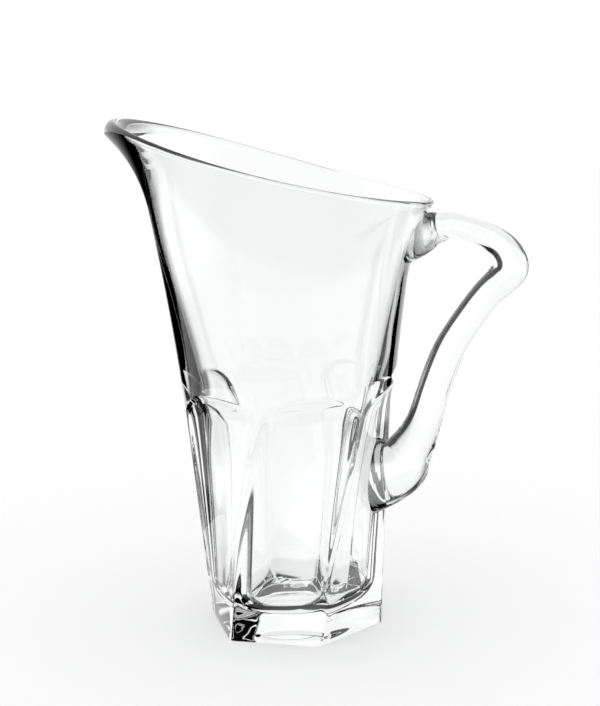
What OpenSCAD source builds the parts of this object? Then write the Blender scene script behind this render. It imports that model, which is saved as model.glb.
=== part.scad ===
// Clear crystal pitcher: a heavy six-sided vessel with a slanted pouring rim, and a solid drawn handle.
// Millimetres, +Z up, with the handle at +X. The origin is at table level, halfway between the tip of the
// spout and the back of the handle. The pieces are drawn round the vessel's axis and then moved there.

/* [Foot and flutes] */
// Corner radius of the six-sided foot at the table
foot_r = 48; // [40:0.5:60]
// Height at which the ridges end and the flutes start to arch over
ridge_top_z = 117; // [90:1:140]
// Radius of the scooped end of each flute
scoop_r = 19; // [12:0.5:40]
// Half angle of a flute at the table, degrees
flute_half_low = 29; // [26:0.25:29.5]
// Half angle of a flute at the end of its ridges, degrees
flute_half_high = 26.5; // [22:0.25:29]
// Turn of the flutes from the table to the tops of their arches, degrees
flute_turn = 30; // [0:1:40]
// Ground bevel round the lower edge of the foot
foot_bevel = 0.8; // [0.3:0.1:2]
// Radius of the shallow hollow under the foot
hollow_r = 30; // [15:0.5:36]
// Depth of the hollow under the foot
hollow_h = 1.6; // [0.5:0.1:4]

/* [Body] */
// Round radius at the tops of the flutes
shoulder_r = 57; // [50:0.5:68]
// Round radius that the wall has at the height of the spout, before the flare
crown_r = 80; // [70:0.5:92]
// Thickness of glass under the inside floor
floor_t = 13; // [8:0.5:24]
// Radius of the flat part of the inside floor
floor_r = 24; // [12:0.5:28]
// Radial thickness of glass at the ridges of the lower body
wall_low_t = 10.5; // [9.5:0.1:14]
// Radial thickness of the upper wall
wall_top_t = 2.7; // [2:0.1:5]
// Height up to which the lower thickness holds
wall_low_z = 100; // [80:1:120]
// Height from which the upper thickness holds
wall_top_z = 215; // [190:1:225]
// Depth of the soft lobes inside, as a share of the depth of the flutes
lobe_share = 0.45; // [0:0.05:0.8]
// Height up to which the lobes keep their depth
lobe_low_z = 90; // [60:1:110]
// Height at which the lobes have faded out
lobe_top_z = 150; // [130:1:180]

/* [Rim and spout] */
// Mean height of the rim
rim_z = 247.2; // [225:0.2:270]
// Half of the rise of the rim from the handle to the spout
rim_rise = 23.7; // [10:0.1:35]
// Lift of the rim at the handle and the spout above a plane cut
rim_sag = 2.5; // [0:0.1:5]
// Outward flare of the wall at the rim
rim_flare = 8; // [2:0.25:14]
// Height below the rim over which the wall flares
flare_h = 42; // [20:1:60]
// Further reach of the spout beyond the flared rim
spout_reach = 8.8; // [4:0.2:20]
// How much closer to the rim the spout bends out than the plain flare does
spout_bite = 1.25; // [1:0.05:2]
// Angular half width of the spout, degrees
spout_half = 26; // [14:1:40]
// Added thickness of glass in the rolled lip of the spout
lip_t = 10.5; // [2:0.25:14]
// Height of the round of the plain rim
rim_round = 1.4; // [0.8:0.1:3]
// Added height of the round at the spout's lip
lip_round = 8.5; // [1:0.25:10]

/* [Handle] */
// Height of the middle of the upper seal on the wall
seal_top_z = 207; // [190:1:215]
// Height of the middle of the lower seal on the wall
seal_low_z = 81.5; // [70:0.5:95]
// Distance from the axis to the middle of the handle's outer bend
bend_x = 118; // [100:1:140]
// Half height of the upper seal
seal_top_half = 13.2; // [9:0.2:16]
// Half height of the lower seal
seal_low_half = 20.5; // [12:0.5:24]
// Half width of the upper seal
seal_top_w = 12.5; // [8:0.25:15]
// Half width of the lower seal
seal_low_w = 11; // [8:0.25:15]
// Half width of the bar at its middle
bar_w = 8.5; // [6:0.25:12]
// Half thickness of the bar at its middle
bar_half = 8; // [5:0.25:11]
// Roundness of the bar's run into the upper seal, 1 is straight
top_bow = 1.4; // [1:0.1:3]
// Roundness of the bar's run into the lower seal
low_bow = 2; // [1:0.1:3]
// Clearance left in the model between a seal and the wall it is fused to
seal_gap = 0.12; // [0.05:0.01:0.5]

/* [Hidden] */
// Columns of one flute side
side_cols = 5;
// Columns of one flute with the ridge after it
flute_cols = 2 * side_cols + 2;
flutes = 6;
flute_step = 360 / flutes;
cols = flutes * flute_cols;
// Rows of the fluted part, of the round part above it and of the inside
flute_rows = 18;
// Crowding of the fluted rows towards the arches, 1 is even
row_crowding = 1.5;
round_rows = 16;
rim_rows = 6;
upper_inside_rows = 14;
lower_inside_rows = 9;
floor_rows = 5;
// Height of the tops of the arches
arch_drop = shoulder_r * (1 - cos(flute_half_high));
arch_top_z = ridge_top_z + sqrt(2 * scoop_r * arch_drop - arch_drop * arch_drop);
// Height of the spout's crest, where crown_r is measured
crown_z = rim_z + rim_rise + rim_sag;
// Slope of the wall at the arch tops, shared by the lower and the upper curve
low_share = 0.35;
shoulder_slope = (shoulder_r - foot_r) / arch_top_z * (2 - low_share);
crown_rise = crown_r - shoulder_r - shoulder_slope * (crown_z - arch_top_z);
crown_curve = crown_rise / pow(crown_z - arch_top_z, 2);
// Height of the turn from the inside floor to the wall, as a share of its width
floor_turn_share = 0.9;
// Swell of the bar at its outer bend, as a share of its half thickness
bend_swell = 1.16;
// Sides and rows of the handle
bar_sides = 24;
bar_steps = 3;
root_steps = 5;
cap_rows = 2;

function clamp01(v) = min(max(v, 0), 1);
function mix(a, b, s) = a + (b - a) * s;

// Round outer radius of the body at height z, before flutes and flare
function low_radius(u) = foot_r + (shoulder_r - foot_r) * (low_share * u + (1 - low_share) * u * u);
function high_radius(h) = shoulder_r + shoulder_slope * h + crown_curve * h * h;
function round_radius(z) = z < arch_top_z ? low_radius(z / arch_top_z) : high_radius(z - arch_top_z);

// Share of the spout in direction a: 1 at the spout, which points to -X
function spout_turn(a) = abs(((a % 360) + 360) % 360 - 180);
function spout_share(a) = exp(-pow(spout_turn(a) / spout_half, 2));

// Crest height of the rim, height of its round, and height where the outer wall ends
function crest_z(a) = rim_z - rim_rise * cos(a) + rim_sag * cos(2 * a);
function edge_round(a) = rim_round + lip_round * spout_share(a);
function edge_z(a) = crest_z(a) - edge_round(a);
function flare(a, z) = pow(clamp01(1 - (edge_z(a) - z) / flare_h), 2);
function spout_flare(a, z) = spout_reach * spout_share(a) * pow(flare(a, z), spout_bite);
function upper_radius(a, z) = round_radius(z) + rim_flare * flare(a, z) + spout_flare(a, z);

// Thickness of the wall, measured along the radius
function wall_blend(u) = (1 + cos(180 * clamp01(u))) / 2;
function wall_step(z) = wall_blend((z - wall_low_z) / (wall_top_z - wall_low_z));
function wall_t(z) = wall_top_t + (wall_low_t - wall_top_t) * wall_step(z);
function lip_wall(a, z) = wall_t(z) + lip_t * spout_share(a) * flare(a, z);

// Turn and half angle of the flutes at height z
function turn_at(z) = flute_turn * clamp01(z / arch_top_z);
function half_at(z) = mix(flute_half_low, flute_half_high, clamp01(z / ridge_top_z));

// Distance of a flute's surface from the axis, and the radius in a local direction t
function scoop_z(z) = min(max(z - ridge_top_z, 0), scoop_r);
function scoop(z) = scoop_r - sqrt(pow(scoop_r, 2) - pow(scoop_z(z), 2));
function flute_d(z) = round_radius(z) * cos(half_at(z)) + scoop(z);
function fluted_radius(t, z) = min(round_radius(z), flute_d(z) / cos(t));

// Outer radius of the finished body in direction a at height z
function local_turn(a, z) = ((a - turn_at(z)) % flute_step + flute_step) % flute_step - flute_step / 2;
function outer_radius(a, z) =
    z < arch_top_z ? fluted_radius(local_turn(a, z), z) : upper_radius(a, z);

// Columns: column 11 of each flute is the ridge, the others lie across the flute
function is_ridge(i) = i % flute_cols == flute_cols - 1;
function flute_mid(i) = flute_step / 2 + flute_step * floor(i / flute_cols);
function flute_share(i) = (i % flute_cols - side_cols) / side_cols;
function col_local(i, z) = is_ridge(i) ? flute_step / 2 : flute_share(i) * half_at(z);
function col_angle(i, z) = flute_mid(i) + col_local(i, z) + turn_at(z);
function top_angle(i) = col_angle(i, arch_top_z);

// Height where column i leaves its flute
function arch_depth(t) = shoulder_r * max(cos(t) - cos(flute_half_high), 0);
function arch_rise(t) = sqrt(max(2 * scoop_r * arch_depth(t) - pow(arch_depth(t), 2), 0));
function arch_z(i) = ridge_top_z + (is_ridge(i) ? 0 : arch_rise(col_local(i, ridge_top_z)));

function polar(r, a, z) = [r * cos(a), r * sin(a), z];
function ring(count) = [for (i = [0 : count - 1]) i];

// Rings of the vessel, from the middle of the underside out, up, over the rim and down inside
function hollow_z(r) = hollow_h * (1 - pow(r / hollow_r, 2));
function under_ring(r) = [for (i = ring(cols)) polar(r, col_angle(i, 0), hollow_z(r))];
function foot_radius(i, z) = is_ridge(i) ? round_radius(z) : flute_d(z) / cos(col_local(i, z));
function bevel_ring() =
    [for (i = ring(cols)) polar(foot_radius(i, 0) - foot_bevel, col_angle(i, 0), 0)];
function row_share(k) = 1 - pow(1 - k / flute_rows, row_crowding);
function flute_z(i, k) = mix(foot_bevel, arch_z(i), row_share(k));
function flute_r(i, z, k) =
    is_ridge(i) || k == flute_rows ? round_radius(z)
    : min(round_radius(z), flute_d(z) / cos(col_local(i, z)));
function flute_ring(k) =
    [for (i = ring(cols)) polar(flute_r(i, flute_z(i, k), k), col_angle(i, flute_z(i, k)), flute_z(i, k))];
function round_z(i, k) = mix(arch_z(i), edge_z(top_angle(i)), k / round_rows);
function round_ring(k) =
    [for (i = ring(cols))
        polar(upper_radius(col_angle(i, round_z(i, k)), round_z(i, k)),
            col_angle(i, round_z(i, k)), round_z(i, k))];
function rim_half(a) = lip_wall(a, edge_z(a)) / 2;
function rim_mid(a) = upper_radius(a, edge_z(a)) - rim_half(a);
function rim_ring(k) =
    [for (i = ring(cols))
        polar(rim_mid(top_angle(i)) + rim_half(top_angle(i)) * cos(180 * k / rim_rows), top_angle(i),
            edge_z(top_angle(i)) + edge_round(top_angle(i)) * sin(180 * k / rim_rows))];
// The inside follows the flutes in soft lobes that fade out above the arches
function lobe_depth(z) = lobe_share * round_radius(min(z, ridge_top_z)) * (1 - cos(half_at(z)));
function lobe_fade(z) = wall_blend((z - lobe_low_z) / (lobe_top_z - lobe_low_z));
function lobe_wave(a, z) = (1 - cos(flutes * (a - turn_at(z)))) / 2;
function lobe(a, z) = lobe_depth(z) * lobe_fade(z) * lobe_wave(a, z);
function inside_r(a, z) = upper_radius(a, z) - lip_wall(a, z) - lobe(a, z);
function inside_point(i, z) = polar(inside_r(col_angle(i, z), z), col_angle(i, z), z);
function upper_inside_z(i, k) = mix(edge_z(top_angle(i)), arch_top_z, k / upper_inside_rows);
function upper_inside_ring(k) = [for (i = ring(cols)) inside_point(i, upper_inside_z(i, k))];
// The inside floor meets the wall in a quarter ellipse
floor_turn_z = floor_t + (round_radius(2 * floor_t) - wall_low_t - floor_r) * floor_turn_share;
function lower_inside_z(k) = mix(arch_top_z, floor_turn_z, k / lower_inside_rows);
function lower_inside_ring(k) = [for (i = ring(cols)) inside_point(i, lower_inside_z(k))];
function floor_angle(i) = col_angle(i, floor_turn_z);
function floor_wall_r(i) = inside_r(floor_angle(i), floor_turn_z);
function floor_ring(k) =
    [for (i = ring(cols))
        polar(mix(floor_r, floor_wall_r(i), cos(90 * k / floor_rows)), floor_angle(i),
            floor_turn_z - (floor_turn_z - floor_t) * sin(90 * k / floor_rows))];

vessel_rings = concat(
    [under_ring(hollow_r / 2)],
    [under_ring(hollow_r)],
    [bevel_ring()],
    [for (k = [0 : flute_rows]) flute_ring(k)],
    [for (k = [1 : round_rows]) round_ring(k)],
    [for (k = [1 : rim_rows]) rim_ring(k)],
    [for (k = [1 : upper_inside_rows]) upper_inside_ring(k)],
    [for (k = [1 : lower_inside_rows]) lower_inside_ring(k)],
    [for (k = [1 : floor_rows]) floor_ring(k)]
);

// A closed skin over rings of n points, with a point in the middle of each end
function flat_list(rings) = [for (r = rings) for (p = r) p];
function at(n, k, i) = k * n + i % n;
function skin_faces(n, rows) = concat(
    [for (k = [0 : rows - 2]) for (i = [0 : n - 1]) [at(n, k, i), at(n, k + 1, i), at(n, k + 1, i + 1)]],
    [for (k = [0 : rows - 2]) for (i = [0 : n - 1]) [at(n, k, i), at(n, k + 1, i + 1), at(n, k, i + 1)]],
    [for (i = [0 : n - 1]) [n * rows, at(n, 0, i), at(n, 0, i + 1)]],
    [for (i = [0 : n - 1]) [n * rows + 1, at(n, rows - 1, i + 1), at(n, rows - 1, i)]]
);
module skin(rings, first, last) {
    points = concat(flat_list(rings), [first, last]);
    polyhedron(points, skin_faces(len(rings[0]), len(rings)), convexity = 10);
}

// Handle: x of the wall at a place on it, found by stepping towards it
function wall_x_step(x, y, z) = sqrt(max(pow(outer_radius(atan2(y, x), z), 2) - y * y, 1));
function wall_x_twice(x, y, z) = wall_x_step(wall_x_step(x, y, z), y, z);
function wall_x(y, z) = wall_x_twice(wall_x_twice(outer_radius(0, z), y, z), y, z) + seal_gap;

// Stations of the bar: x, z, half thickness, half width, from the upper seal to the lower one
foot_x = wall_x(0, seal_low_z);
reach = bend_x - foot_x;
drop = seal_top_z - seal_low_z;
function station(fx, fz, fh, fw) = [foot_x + reach * fx, seal_low_z + drop * fz, bar_half * fh, bar_w * fw];
stations = [
    station(0.46, 1.04, 1.06, 0.95),
    station(0.59, 1.05, 0.80, 0.85),
    station(0.73, 1.03, 0.79, 0.85),
    station(0.88, 0.99, 0.90, 0.92),
    station(0.97, 0.94, 1.05, 1.02),
    station(1.00, 0.88, bend_swell, 1.08),
    station(0.94, 0.83, 1.05, 1.04),
    station(0.83, 0.77, 0.97, 1.00),
    station(0.72, 0.69, 0.97, 1.00),
    station(0.58, 0.57, 1.00, 1.00),
    station(0.50, 0.47, 1.05, 1.02),
    station(0.43, 0.36, 1.06, 1.04),
    station(0.37, 0.25, 1.14, 1.08),
    station(0.31, 0.17, 1.34, 1.14),
    station(0.24, 0.10, 1.61, 1.22)
];
spans = len(stations) - 1;

// Smooth curve through the stations
function station_at(k) = stations[min(max(k, 0), spans)];
function curve(p0, p1, p2, p3, s) =
    p1 + (p2 - p0) * s / 2 + (2 * p0 - 5 * p1 + 4 * p2 - p3) * s * s / 2
    + (3 * p1 - p0 - 3 * p2 + p3) * s * s * s / 2;
function bar_at(u) =
    curve(station_at(floor(u) - 1), station_at(floor(u)), station_at(floor(u) + 1),
        station_at(floor(u) + 2), u - floor(u));
function bar_slope(u) = bar_at(min(u + 0.05, spans - 0.001)) - bar_at(max(u - 0.05, 0));
function bar_dir(u) = bar_slope(u) / norm([bar_slope(u)[0], bar_slope(u)[1]]);
function bar_point(s, d, q) =
    [s[0] - d[1] * s[2] * cos(q), s[3] * sin(q), s[1] + d[0] * s[2] * cos(q)];
function bar_ring(u) =
    [for (j = ring(bar_sides)) bar_point(bar_at(u), bar_dir(u), 360 * j / bar_sides)];

// Seal: an oval on the wall, drawn out to the end of the bar in a round toe
function seal_z(zm, half, s, q) = zm + half * s * cos(q);
function seal_point(zm, half, w, s, q) =
    [wall_x(w * s * sin(q), seal_z(zm, half, s, q)), w * s * sin(q), seal_z(zm, half, s, q)];
function seal_ring(zm, half, w, s) =
    [for (j = ring(bar_sides)) seal_point(zm, half, w, s, 360 * j / bar_sides)];
function root_point(p, q, s, bow) =
    [mix(p[0], q[0], pow(s, bow)), mix(p[1], q[1], s), mix(p[2], q[2], s)];
function root_ring(bar, seal, s, bow) = [for (j = ring(bar_sides)) root_point(bar[j], seal[j], s, bow)];

top_seal = seal_ring(seal_top_z, seal_top_half, seal_top_w, 1);
low_seal = seal_ring(seal_low_z, -seal_low_half, seal_low_w, 1);
bar_first = bar_ring(0);
bar_last = bar_ring(spans - 0.001);
handle_rings = concat(
    [for (k = [1 : cap_rows]) seal_ring(seal_top_z, seal_top_half, seal_top_w, k / (cap_rows + 1))],
    [for (k = [root_steps : -1 : 1]) root_ring(bar_first, top_seal, k / root_steps, top_bow)],
    [for (k = [0 : spans * bar_steps - 1]) bar_ring(k / bar_steps)],
    [for (k = [0 : root_steps]) root_ring(bar_last, low_seal, k / root_steps, low_bow)],
    [for (k = [cap_rows : -1 : 1]) seal_ring(seal_low_z, -seal_low_half, seal_low_w, k / (cap_rows + 1))]
);

// Place of the vessel's axis: the spout and the back of the handle then stand equally far from the origin
spout_tip_r = upper_radius(180, edge_z(180));
bend_out = bend_x + bar_half * bend_swell;
axis_x = (spout_tip_r - bend_out) / 2;

module vessel() {
    color([0.86, 0.92, 0.94, 0.45])
        translate([axis_x, 0, 0])
        skin(vessel_rings, [0, 0, hollow_h], [0, 0, floor_t]);
}

module handle() {
    color([0.80, 0.88, 0.92, 0.6])
        translate([axis_x, 0, 0])
        skin(handle_rings, [wall_x(0, seal_top_z), 0, seal_top_z], [wall_x(0, seal_low_z), 0, seal_low_z]);
}

vessel();
handle();
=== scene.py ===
import math
import bpy
from mathutils import Matrix, Vector


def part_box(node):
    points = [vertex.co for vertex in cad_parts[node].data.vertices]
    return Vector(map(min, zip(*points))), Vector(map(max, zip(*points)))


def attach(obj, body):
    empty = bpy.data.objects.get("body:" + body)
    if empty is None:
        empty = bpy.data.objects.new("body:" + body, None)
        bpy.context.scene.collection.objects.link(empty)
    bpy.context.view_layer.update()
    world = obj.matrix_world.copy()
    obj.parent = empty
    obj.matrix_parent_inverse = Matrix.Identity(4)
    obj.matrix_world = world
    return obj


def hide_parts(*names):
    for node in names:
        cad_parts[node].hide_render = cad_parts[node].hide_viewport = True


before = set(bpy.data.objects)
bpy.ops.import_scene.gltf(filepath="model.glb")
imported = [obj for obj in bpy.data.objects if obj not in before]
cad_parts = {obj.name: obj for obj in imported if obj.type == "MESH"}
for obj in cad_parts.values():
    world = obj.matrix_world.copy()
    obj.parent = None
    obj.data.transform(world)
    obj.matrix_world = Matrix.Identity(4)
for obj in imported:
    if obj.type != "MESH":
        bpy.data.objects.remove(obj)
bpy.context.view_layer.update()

VIEW_TURN = math.radians(16.02)      # camera's place round the axis, from -Y towards the handle
TABLE_HALF = 30.0
TABLE_WHITE = (0.97, 0.97, 0.97, 1)
SURROUND_LIGHT = 1.03                # times the table's white, this is white
ROOM_FRONT_DARK = 0.6                # how dark the room is behind the camera, above the table
ROOM_TURN = math.radians(100)        # angle off the line of sight at which the room starts
ROOM_SOFT = math.radians(40)
ROOM_EDGE = -0.04                    # sine of the angle at which the room meets the table
ROOM_EDGE_SOFT = 0.1
STEEP_EDGE = -0.42                   # sine of the angle below which the glass sees the table near it
STEEP_SOFT = 0.14
STEEP_BACK_DARK = 0.15               # how dark that is behind the jug
STEEP_SIDE_DARK = 0.95               # and beside and in front of it
STEEP_TURN = math.radians(32)
STEEP_TURN_SOFT = math.radians(20)
CARD_FADE = 0.18                     # share of a card's width over which each side fades out
CARD_DROP = -0.600                   # the cloths under the cards hang this far below the table
# Name, distance behind the origin, left and right edge seen from the camera, lower and upper edge,
# and whether it is a card, which fades at the top too and shows in reflections, or a cloth
CARDS = (
    ("black_card_left", 0.100, -0.240, -0.096, 0.0, 0.270, True),
    ("black_cloth_left", 0.100, -0.240, -0.096, CARD_DROP, 0.0, False),
    ("black_card_right", 0.300, 0.245, 0.425, 0.0, 0.440, True),
    ("black_cloth_right", 0.300, 0.245, 0.425, CARD_DROP, 0.0, False),
)

world = bpy.data.worlds.new("white_surround")
bpy.context.scene.world = world
world.use_nodes = True
surround = world.node_tree
surround.nodes.clear()


def surround_math(operation, *values):
    step = surround.nodes.new("ShaderNodeMath")
    step.operation = operation
    for place, value in enumerate(values):
        if isinstance(value, (int, float)):
            step.inputs[place].default_value = value
        else:
            surround.links.new(value, step.inputs[place])
    return step.outputs[0]


def soft_step(value, edge, width):
    step = surround.nodes.new("ShaderNodeMapRange")
    step.interpolation_type = "SMOOTHSTEP"
    surround.links.new(value, step.inputs["Value"])
    step.inputs["From Min"].default_value = edge - width / 2
    step.inputs["From Max"].default_value = edge + width / 2
    return step.outputs["Result"]


direction = surround.nodes.new("ShaderNodeTexCoord")
parts = surround.nodes.new("ShaderNodeSeparateXYZ")
surround.links.new(direction.outputs["Generated"], parts.inputs[0])
east, north, height = parts.outputs
sight_x, sight_y = -math.sin(VIEW_TURN), math.cos(VIEW_TURN)
along = surround_math(
    "ADD",
    surround_math("MULTIPLY", east, sight_x),
    surround_math("MULTIPLY", north, sight_y),
)
across = surround_math(
    "ADD",
    surround_math("MULTIPLY", east, sight_y),
    surround_math("MULTIPLY", north, -sight_x),
)
turn = surround_math("ABSOLUTE", surround_math("ARCTAN2", across, along))
room = soft_step(turn, ROOM_TURN, ROOM_SOFT)
over_table = soft_step(height, ROOM_EDGE, ROOM_EDGE_SOFT)
room_front = surround_math("MULTIPLY", surround_math("MULTIPLY", room, over_table), ROOM_FRONT_DARK)
to_the_side = soft_step(turn, STEEP_TURN, STEEP_TURN_SOFT)
beside = surround_math("MULTIPLY", to_the_side, STEEP_SIDE_DARK - STEEP_BACK_DARK)
steep = surround_math("SUBTRACT", 1.0, soft_step(height, STEEP_EDGE, STEEP_SOFT))
steep = surround_math("MULTIPLY", steep, surround_math("ADD", beside, STEEP_BACK_DARK))
ray = surround.nodes.new("ShaderNodeLightPath")
glass_ray = surround_math("MAXIMUM", ray.outputs["Is Transmission Ray"], ray.outputs["Is Glossy Ray"])
dark = surround_math("MULTIPLY", surround_math("MAXIMUM", room_front, steep), glass_ray)
level = surround_math("SUBTRACT", 1.0, dark)
grey = surround.nodes.new("ShaderNodeCombineColor")
for channel in range(3):
    surround.links.new(level, grey.inputs[channel])
glow = surround.nodes.new("ShaderNodeBackground")
glow.inputs["Strength"].default_value = SURROUND_LIGHT
surround.links.new(grey.outputs[0], glow.inputs["Color"])
world_out = surround.nodes.new("ShaderNodeOutputWorld")
surround.links.new(glow.outputs[0], world_out.inputs["Surface"])

bpy.ops.object.select_all(action="DESELECT")
bpy.ops.mesh.primitive_plane_add(size=2 * TABLE_HALF)
table = bpy.context.object
table.name = "white_table"
table_white = bpy.data.materials.new("white_table")
table_white.use_nodes = True
table_shader = table_white.node_tree.nodes["Principled BSDF"]
table_shader.inputs["Base Color"].default_value = TABLE_WHITE
table_shader.inputs["Roughness"].default_value = 1.0
table_shader.inputs["Specular IOR Level"].default_value = 0.0
table.data.materials.append(table_white)
table.visible_transmission = False
table.visible_glossy = False


def black_velvet(name, fades_at_top):
    """Black velvet that thins out to nothing at its sides, so that no hard edge shows in the glass."""
    velvet = bpy.data.materials.new(name)
    velvet.use_nodes = True
    nodes, links = velvet.node_tree.nodes, velvet.node_tree.links
    black = nodes["Principled BSDF"]
    black.inputs["Base Color"].default_value = (0, 0, 0, 1)
    black.inputs["Specular IOR Level"].default_value = 0.0
    spot = nodes.new("ShaderNodeTexCoord")
    spot_parts = nodes.new("ShaderNodeSeparateXYZ")
    links.new(spot.outputs["Generated"], spot_parts.inputs[0])
    edges = [(0, 0.0, CARD_FADE), (0, 1.0, 1 - CARD_FADE)]
    if fades_at_top:
        edges.append((1, 1.0, 1 - CARD_FADE))
    cover = None
    for axis, bare, full in edges:
        fade = nodes.new("ShaderNodeMapRange")
        fade.interpolation_type = "SMOOTHSTEP"
        links.new(spot_parts.outputs[axis], fade.inputs["Value"])
        fade.inputs["From Min"].default_value = bare
        fade.inputs["From Max"].default_value = full
        if cover is None:
            cover = fade.outputs["Result"]
        else:
            both = nodes.new("ShaderNodeMath")
            both.operation = "MULTIPLY"
            links.new(cover, both.inputs[0])
            links.new(fade.outputs["Result"], both.inputs[1])
            cover = both.outputs[0]
    bare_air = nodes.new("ShaderNodeBsdfTransparent")
    woven = nodes.new("ShaderNodeMixShader")
    links.new(cover, woven.inputs["Fac"])
    links.new(bare_air.outputs[0], woven.inputs[1])
    links.new(black.outputs[0], woven.inputs[2])
    links.new(woven.outputs[0], nodes["Material Output"].inputs["Surface"])
    return velvet


card_velvet = black_velvet("card_velvet", True)
cloth_velvet = black_velvet("cloth_velvet", False)
for card_name, card_back, card_left, card_right, card_foot, card_top, is_card in CARDS:
    bpy.ops.mesh.primitive_plane_add(size=1, rotation=(math.pi / 2, 0, VIEW_TURN))
    card = bpy.context.object
    card.name = card_name
    card.scale = (card_right - card_left, card_top - card_foot, 1)
    middle = (card_left + card_right) / 2
    card.location = (
        middle * math.cos(VIEW_TURN) - card_back * math.sin(VIEW_TURN),
        middle * math.sin(VIEW_TURN) + card_back * math.cos(VIEW_TURN),
        (card_foot + card_top) / 2,
    )
    card.data.materials.append(card_velvet if is_card else cloth_velvet)
    card.visible_camera = False
    card.visible_diffuse = False
    card.visible_glossy = is_card
    card.visible_shadow = False
bpy.context.scene.view_settings.view_transform = "Standard"

# The vessel: one gather of clear crystal, blown and pressed in a six-sided mould and turned as it
# came out, so that its flutes lean round the body. The rim is cut on a slant, opened out with a
# tool and melted round, and its high end is pulled into a thick pouring lip.
MM = 0.001
FOOT_R = 48.0
FOOT_BEVEL = 0.8
HOLLOW_R = 30.0
HOLLOW_H = 1.6
RIDGE_TOP_Z = 117.0
SCOOP_R = 19.0
FLUTES = 6
FLUTE_HALF_LOW = 29.0
FLUTE_HALF_HIGH = 26.5
FLUTE_TURN = 30.0
EDGE_MELT = 0.35                     # how far the fire has softened the ridges
MELT_REACH = 20                      # this many times EDGE_MELT off a flute, the wall is plainly round
SHOULDER_R = 57.0
CROWN_R = 80.0
LOW_SHARE = 0.35
FLOOR_T = 13.0
FLOOR_R = 24.0
FLOOR_TURN_SHARE = 0.9               # height of the floor's round edge, as a share of its depth
WALL_LOW_T = 10.5
WALL_TOP_T = 2.7
WALL_LOW_Z = 100.0
WALL_TOP_Z = 215.0
LOBE_SHARE = 0.45                    # depth of the inside's lobes, as a share of the flutes'
LOBE_LOW_Z = 90.0
LOBE_TOP_Z = 150.0
RIM_Z = 247.2
RIM_RISE = 23.7
RIM_SAG = 2.5
RIM_FLARE = 8.0
FLARE_H = 42.0
SPOUT_REACH = 8.8
SPOUT_BITE = 1.25
SPOUT_HALF = 26.0
LIP_T = 10.5
RIM_ROUND = 1.4
LIP_ROUND = 8.5

FLUTE_STEP = 360 / FLUTES
ARCH_DROP = SHOULDER_R * (1 - math.cos(math.radians(FLUTE_HALF_HIGH)))
ARCH_TOP_Z = RIDGE_TOP_Z + math.sqrt(2 * SCOOP_R * ARCH_DROP - ARCH_DROP ** 2)
CROWN_Z = RIM_Z + RIM_RISE + RIM_SAG
SHOULDER_SLOPE = (SHOULDER_R - FOOT_R) / ARCH_TOP_Z * (2 - LOW_SHARE)
CROWN_H = CROWN_Z - ARCH_TOP_Z
CROWN_CURVE = (CROWN_R - SHOULDER_R - SHOULDER_SLOPE * CROWN_H) / CROWN_H ** 2


def cosine(degrees):
    return math.cos(math.radians(degrees))


def sine(degrees):
    return math.sin(math.radians(degrees))


def share(value):
    return min(max(value, 0.0), 1.0)


def mix(low, high, amount):
    return low + (high - low) * amount


def round_radius(z):
    if z < ARCH_TOP_Z:
        rise = z / ARCH_TOP_Z
        return FOOT_R + (SHOULDER_R - FOOT_R) * (LOW_SHARE * rise + (1 - LOW_SHARE) * rise * rise)
    rise = z - ARCH_TOP_Z
    return SHOULDER_R + SHOULDER_SLOPE * rise + CROWN_CURVE * rise * rise


def spout_share(angle):
    return math.exp(-(abs(angle % 360 - 180) / SPOUT_HALF) ** 2)


def edge_round(angle):
    return RIM_ROUND + LIP_ROUND * spout_share(angle)


def edge_z(angle):
    return RIM_Z - RIM_RISE * cosine(angle) + RIM_SAG * cosine(2 * angle) - edge_round(angle)


def flare(angle, z):
    return share(1 - (edge_z(angle) - z) / FLARE_H) ** 2


def upper_radius(angle, z):
    spout = SPOUT_REACH * spout_share(angle) * flare(angle, z) ** SPOUT_BITE
    return round_radius(z) + RIM_FLARE * flare(angle, z) + spout


# The frame's origin is halfway along the jug, so the axis stands off it on the spout's side.
AXIS_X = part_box("vessel")[0][0] / MM + upper_radius(180, edge_z(180))


def in_frame(x, y, z):
    return ((AXIS_X + x) * MM, y * MM, z * MM)


def wall_thickness(angle, z):
    thin = (1 + cosine(180 * share((z - WALL_LOW_Z) / (WALL_TOP_Z - WALL_LOW_Z)))) / 2
    wall = WALL_TOP_T + (WALL_LOW_T - WALL_TOP_T) * thin
    return wall + LIP_T * spout_share(angle) * flare(angle, z)


def flute_turn(z):
    return FLUTE_TURN * share(z / ARCH_TOP_Z)


def flute_radius(local, z):
    half = mix(FLUTE_HALF_LOW, FLUTE_HALF_HIGH, share(z / RIDGE_TOP_Z))
    over = min(max(z - RIDGE_TOP_Z, 0), SCOOP_R)
    scoop = SCOOP_R - math.sqrt(SCOOP_R ** 2 - over ** 2)
    return (round_radius(z) * cosine(half) + scoop) / cosine(local)


def outer_radius(angle, z):
    plain = upper_radius(angle, z)
    if z > RIDGE_TOP_Z + SCOOP_R:
        return plain
    local = (angle - flute_turn(z)) % FLUTE_STEP - FLUTE_STEP / 2
    gap = flute_radius(local, z) - plain
    if gap > MELT_REACH * EDGE_MELT:
        return plain
    return plain - EDGE_MELT * math.log(1 + math.exp(-gap / EDGE_MELT))


def inside_radius(angle, z):
    """The inside follows the flutes too, but in soft lobes that fade out where the flutes end."""
    half = mix(FLUTE_HALF_LOW, FLUTE_HALF_HIGH, share(z / RIDGE_TOP_Z))
    depth = round_radius(min(z, RIDGE_TOP_Z)) * (1 - cosine(half))
    fade = (1 + cosine(180 * share((z - LOBE_LOW_Z) / (LOBE_TOP_Z - LOBE_LOW_Z)))) / 2
    lobe = (1 - cosine(FLUTES * (angle - flute_turn(z)))) / 2
    return upper_radius(angle, z) - wall_thickness(angle, z) - LOBE_SHARE * depth * fade * lobe


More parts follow.
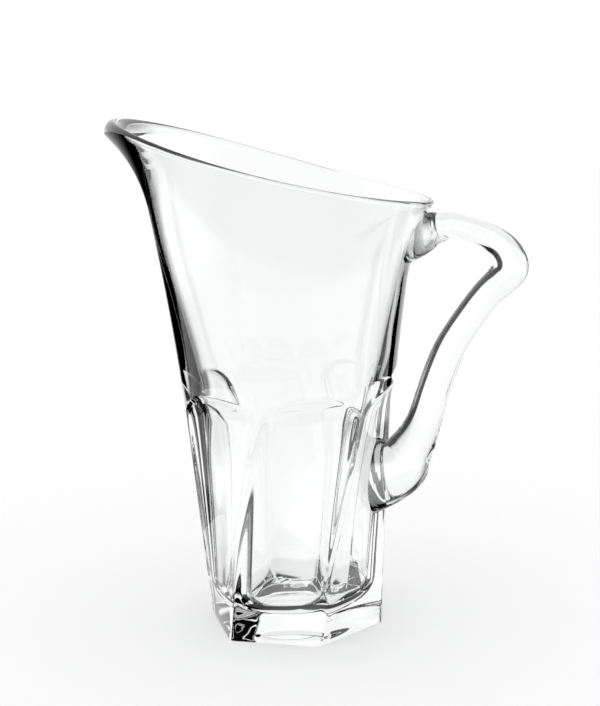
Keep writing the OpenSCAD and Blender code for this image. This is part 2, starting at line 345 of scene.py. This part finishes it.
# A column of the wall is one line from under the foot, up the outside, over the rim, down the
# inside and in to the middle of the floor. Columns crowd together at the ridges.
FLUTE_COLUMNS = 44
RIDGE_CROWD = 0.32
HOLLOW_ROWS = 8
BEVEL_ROWS = 4
RIDGE_ROWS = 44
ARCH_ROWS = 34
UPPER_ROWS = 56
RIM_ROWS = 14
INSIDE_ROWS = 80
FLOOR_ROWS = 16
INSIDE_FLOOR_ROWS = 6
ARCH_LEAD = 8
ARCH_START_Z = RIDGE_TOP_Z - ARCH_LEAD
ARCH_END_Z = RIDGE_TOP_Z + SCOOP_R


def column_angle(column):
    flute, across_flute = divmod(column, FLUTE_COLUMNS)
    spot = 2 * across_flute / FLUTE_COLUMNS - 1
    crowded = (1 + RIDGE_CROWD) * spot - RIDGE_CROWD * spot ** 3
    return FLUTE_STEP * (flute + 0.5 + crowded / 2)


def column_points(column):
    base = column_angle(column)
    top = base + FLUTE_TURN
    points = []
    for row in range(HOLLOW_ROWS + 1):
        r = HOLLOW_R * row / HOLLOW_ROWS
        points.append((r, base, HOLLOW_H * (1 - (r / HOLLOW_R) ** 2)))
    foot = outer_radius(base, 0)
    for row in range(BEVEL_ROWS):
        bend = 90 * row / BEVEL_ROWS
        r = foot - FOOT_BEVEL * (1 - sine(bend))
        points.append((r, base, FOOT_BEVEL * (1 - cosine(bend))))
    heights = [mix(FOOT_BEVEL, ARCH_START_Z, row / RIDGE_ROWS) for row in range(RIDGE_ROWS)]
    heights += [mix(ARCH_START_Z, ARCH_END_Z, row / ARCH_ROWS) for row in range(ARCH_ROWS)]
    heights += [mix(ARCH_END_Z, edge_z(top), row / UPPER_ROWS) for row in range(UPPER_ROWS)]
    for z in heights:
        angle = base + flute_turn(z)
        points.append((outer_radius(angle, z), angle, z))
    rim_half = wall_thickness(top, edge_z(top)) / 2
    rim_middle = upper_radius(top, edge_z(top)) - rim_half
    for row in range(RIM_ROWS + 1):
        bend = 180 * row / RIM_ROWS
        r = rim_middle + rim_half * cosine(bend)
        points.append((r, top, edge_z(top) + edge_round(top) * sine(bend)))
    turn_z = FLOOR_T + (round_radius(2 * FLOOR_T) - WALL_LOW_T - FLOOR_R) * FLOOR_TURN_SHARE
    for row in range(1, INSIDE_ROWS + 1):
        z = mix(edge_z(top), turn_z, row / INSIDE_ROWS)
        angle = base + flute_turn(z)
        points.append((inside_radius(angle, z), angle, z))
    turn_r, floor_angle = points[-1][:2]
    for row in range(1, FLOOR_ROWS + 1):
        bend = 90 * row / FLOOR_ROWS
        r = mix(FLOOR_R, turn_r, cosine(bend))
        points.append((r, floor_angle, turn_z - (turn_z - FLOOR_T) * sine(bend)))
    for row in range(1, INSIDE_FLOOR_ROWS + 1):
        points.append((FLOOR_R * (1 - row / INSIDE_FLOOR_ROWS), floor_angle, FLOOR_T))
    return [in_frame(r * cosine(angle), r * sine(angle), z) for r, angle, z in points]


SEAM_GAP = 0.000002
SOFT_ANGLE = math.radians(30)


def wrap_sheet(name, columns):
    """A flat grid, one strip for each column of points, wrapped until its edges meet, and sealed."""
    across_count, along_count = len(columns) - 1, len(columns[0]) - 1
    bpy.ops.object.select_all(action="DESELECT")
    bpy.ops.mesh.primitive_grid_add(x_subdivisions=along_count, y_subdivisions=across_count, size=1)
    piece = bpy.context.object
    piece.name = name
    piece.data.name = name
    places = [value for column in columns for point in column for value in point]
    piece.data.vertices.foreach_set("co", places)
    bpy.ops.object.mode_set(mode="EDIT")
    bpy.ops.mesh.select_all(action="SELECT")
    bpy.ops.mesh.remove_doubles(threshold=SEAM_GAP)
    bpy.ops.mesh.normals_make_consistent(inside=False)
    bpy.ops.object.mode_set(mode="OBJECT")
    bpy.ops.object.shade_smooth_by_angle(angle=SOFT_ANGLE)
    return piece


vessel_columns = [column_points(column) for column in range(FLUTES * FLUTE_COLUMNS)]
vessel = wrap_sheet("vessel_body", vessel_columns + [vessel_columns[0]])

# Hot-worked glass is never quite even: a faint, slow ripple of the surface, shared by both gathers.
RIPPLE_SCALE = 34.0
RIPPLE_DETAIL = 1.0
RIPPLE_HEIGHT = 0.0004
RIPPLE_STRENGTH = 0.12
ripple = bpy.data.node_groups.new("hot_ripple", "ShaderNodeTree")
ripple.interface.new_socket("Normal", in_out="OUTPUT", socket_type="NodeSocketVector")
ripple_place = ripple.nodes.new("ShaderNodeTexCoord")
ripple_noise = ripple.nodes.new("ShaderNodeTexNoise")
ripple_noise.inputs["Scale"].default_value = RIPPLE_SCALE
ripple_noise.inputs["Detail"].default_value = RIPPLE_DETAIL
ripple_bump = ripple.nodes.new("ShaderNodeBump")
ripple_bump.inputs["Strength"].default_value = RIPPLE_STRENGTH
ripple_bump.inputs["Distance"].default_value = RIPPLE_HEIGHT
ripple_out = ripple.nodes.new("NodeGroupOutput")
ripple.links.new(ripple_place.outputs["Object"], ripple_noise.inputs["Vector"])
ripple.links.new(ripple_noise.outputs[0], ripple_bump.inputs["Height"])
ripple.links.new(ripple_bump.outputs["Normal"], ripple_out.inputs["Normal"])

CRYSTAL_TINT = (0.995, 1.0, 1.0, 1)
CRYSTAL_IOR = 1.54
CRYSTAL_SHADE = (0.93, 0.94, 0.94, 1)


def clear_crystal(name):
    """Colourless crystal, fire-polished. It lets most of the light through to the table."""
    crystal = bpy.data.materials.new(name)
    crystal.use_nodes = True
    nodes, links = crystal.node_tree.nodes, crystal.node_tree.links
    glass = nodes["Principled BSDF"]
    glass.inputs["Base Color"].default_value = CRYSTAL_TINT
    glass.inputs["Roughness"].default_value = 0.0
    glass.inputs["IOR"].default_value = CRYSTAL_IOR
    glass.inputs["Transmission Weight"].default_value = 1.0
    surface = nodes.new("ShaderNodeGroup")
    surface.node_tree = ripple
    links.new(surface.outputs["Normal"], glass.inputs["Normal"])
    through = nodes.new("ShaderNodeBsdfTransparent")
    through.inputs["Color"].default_value = CRYSTAL_SHADE
    light_path = nodes.new("ShaderNodeLightPath")
    either = nodes.new("ShaderNodeMixShader")
    links.new(light_path.outputs["Is Shadow Ray"], either.inputs["Fac"])
    links.new(glass.outputs[0], either.inputs[1])
    links.new(through.outputs[0], either.inputs[2])
    links.new(either.outputs[0], nodes["Material Output"].inputs["Surface"])
    return crystal


vessel.data.materials.append(clear_crystal("vessel_crystal"))
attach(vessel, "root")
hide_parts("vessel")

# The handle: a second gather of the same crystal, drawn out into a bar, pressed on hot under the rim,
# bent over and down, and pressed on again low on the body. It is solid all through.
SEAL_TOP_Z = 207.0
SEAL_LOW_Z = 81.5
BEND_X = 118.0
SEAL_TOP_HALF = 13.2
SEAL_LOW_HALF = 20.5
SEAL_TOP_W = 12.5
SEAL_LOW_W = 11.0
BAR_W = 8.5
BAR_HALF = 8.0
TOP_BOW = 1.4
LOW_BOW = 2.0
SEAL_SINK = 0.3                      # how far the hot seal has sunk into the wall
BAR_SIDES = 48
CAP_ROWS = 6
ROOT_ROWS = 12
SPAN_ROWS = 8
WALL_TRIES = 5                       # rounds in which a point of the seal finds the wall
SLOPE_STEP = 0.05                    # step along the bar over which its slope is taken


def wall_x(y, z):
    x = outer_radius(0, z)
    for _ in range(WALL_TRIES):
        x = math.sqrt(max(outer_radius(math.degrees(math.atan2(y, x)), z) ** 2 - y * y, 1))
    return x - SEAL_SINK


def station(out, rise, thick, wide):
    x = FOOT_X + (BEND_X - FOOT_X) * out
    return (x, mix(SEAL_LOW_Z, SEAL_TOP_Z, rise), BAR_HALF * thick, BAR_W * wide)


FOOT_X = wall_x(0, SEAL_LOW_Z)
STATIONS = [
    station(0.46, 1.04, 1.06, 0.95),
    station(0.59, 1.05, 0.80, 0.85),
    station(0.73, 1.03, 0.79, 0.85),
    station(0.88, 0.99, 0.90, 0.92),
    station(0.97, 0.94, 1.05, 1.02),
    station(1.00, 0.88, 1.16, 1.08),
    station(0.94, 0.83, 1.05, 1.04),
    station(0.83, 0.77, 0.97, 1.00),
    station(0.72, 0.69, 0.97, 1.00),
    station(0.58, 0.57, 1.00, 1.00),
    station(0.50, 0.47, 1.05, 1.02),
    station(0.43, 0.36, 1.06, 1.04),
    station(0.37, 0.25, 1.14, 1.08),
    station(0.31, 0.17, 1.34, 1.14),
    station(0.24, 0.10, 1.61, 1.22),
]
SPANS = len(STATIONS) - 1


def bar_at(along_bar):
    span = min(int(along_bar), SPANS - 1)
    s = along_bar - span
    before, start, end, after = (STATIONS[min(max(span + step, 0), SPANS)] for step in (-1, 0, 1, 2))
    return [
        b
        + (c - a) * s / 2
        + (2 * a - 5 * b + 4 * c - d) * s * s / 2
        + (3 * b - a - 3 * c + d) * s ** 3 / 2
        for a, b, c, d in zip(before, start, end, after)
    ]


def bar_ring(along_bar):
    ahead = bar_at(min(along_bar + SLOPE_STEP, SPANS))
    behind = bar_at(max(along_bar - SLOPE_STEP, 0))
    run_x, run_z = ahead[0] - behind[0], ahead[1] - behind[1]
    length = math.hypot(run_x, run_z)
    x, z, thick, wide = bar_at(along_bar)
    ring = []
    for side in range(BAR_SIDES):
        bend = 360 * side / BAR_SIDES
        lift = thick * cosine(bend)
        ring.append((x - run_z / length * lift, wide * sine(bend), z + run_x / length * lift))
    return ring


def seal_ring(middle_z, half, wide, size):
    ring = []
    for side in range(BAR_SIDES):
        bend = 360 * side / BAR_SIDES
        y, z = wide * size * sine(bend), middle_z + half * size * cosine(bend)
        ring.append((wall_x(y, z), y, z))
    return ring


def root_ring(bar, seal, amount, bow):
    return [
        (mix(p[0], q[0], amount ** bow), mix(p[1], q[1], amount), mix(p[2], q[2], amount))
        for p, q in zip(bar, seal)
    ]


top_seal = seal_ring(SEAL_TOP_Z, SEAL_TOP_HALF, SEAL_TOP_W, 1)
low_seal = seal_ring(SEAL_LOW_Z, -SEAL_LOW_HALF, SEAL_LOW_W, 1)
bar_first, bar_last = bar_ring(0), bar_ring(SPANS)
handle_rings = [
    seal_ring(SEAL_TOP_Z, SEAL_TOP_HALF, SEAL_TOP_W, row / CAP_ROWS)
    for row in range(CAP_ROWS)
]
handle_rings += [
    root_ring(bar_first, top_seal, 1 - row / ROOT_ROWS, TOP_BOW)
    for row in range(ROOT_ROWS)
]
handle_rings += [bar_ring(row / SPAN_ROWS) for row in range(SPANS * SPAN_ROWS)]
handle_rings += [
    root_ring(bar_last, low_seal, row / ROOT_ROWS, LOW_BOW)
    for row in range(ROOT_ROWS)
]
handle_rings += [
    seal_ring(SEAL_LOW_Z, -SEAL_LOW_HALF, SEAL_LOW_W, 1 - row / CAP_ROWS)
    for row in range(CAP_ROWS + 1)
]
handle_columns = [
    [in_frame(*ring[side % BAR_SIDES]) for ring in handle_rings]
    for side in range(BAR_SIDES + 1)
]
handle = wrap_sheet("handle_bar", handle_columns)
handle.data.materials.append(clear_crystal("handle_crystal"))
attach(handle, "root")
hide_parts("handle")

# The camera stands a little to the handle's side of square on and looks slightly down,
# about arm's length and a half away. It leans a little, as the photograph does.
CAMERA_AWAY = 0.690
CAMERA_UP = 0.249
CAMERA_YAW = math.radians(-0.54)
CAMERA_DOWN = math.radians(8.44)
CAMERA_LEAN = math.radians(-1.61)
FOCAL_PIXELS = 1307
IMAGE_WIDTH = 600
SENSOR_WIDTH = 36

aim = VIEW_TURN + CAMERA_YAW
sight = Vector((
    -math.sin(aim) * math.cos(CAMERA_DOWN),
    math.cos(aim) * math.cos(CAMERA_DOWN),
    -math.sin(CAMERA_DOWN),
))
level_right = Vector((math.cos(aim), math.sin(aim), 0))
level_up = level_right.cross(sight)
right = level_right * math.cos(CAMERA_LEAN) + level_up * math.sin(CAMERA_LEAN)
up = level_up * math.cos(CAMERA_LEAN) - level_right * math.sin(CAMERA_LEAN)
place = Vector((CAMERA_AWAY * math.sin(VIEW_TURN), -CAMERA_AWAY * math.cos(VIEW_TURN), CAMERA_UP))
place.x += AXIS_X * MM
camera_lens = bpy.data.cameras.new("camera")
camera_lens.sensor_fit = "HORIZONTAL"
camera_lens.sensor_width = SENSOR_WIDTH
camera_lens.lens = FOCAL_PIXELS * SENSOR_WIDTH / IMAGE_WIDTH
camera = bpy.data.objects.new("camera", camera_lens)
bpy.context.collection.objects.link(camera)
camera.matrix_world = Matrix.Translation(place) @ Matrix((right, up, -sight)).transposed().to_4x4()
bpy.context.scene.camera = camera
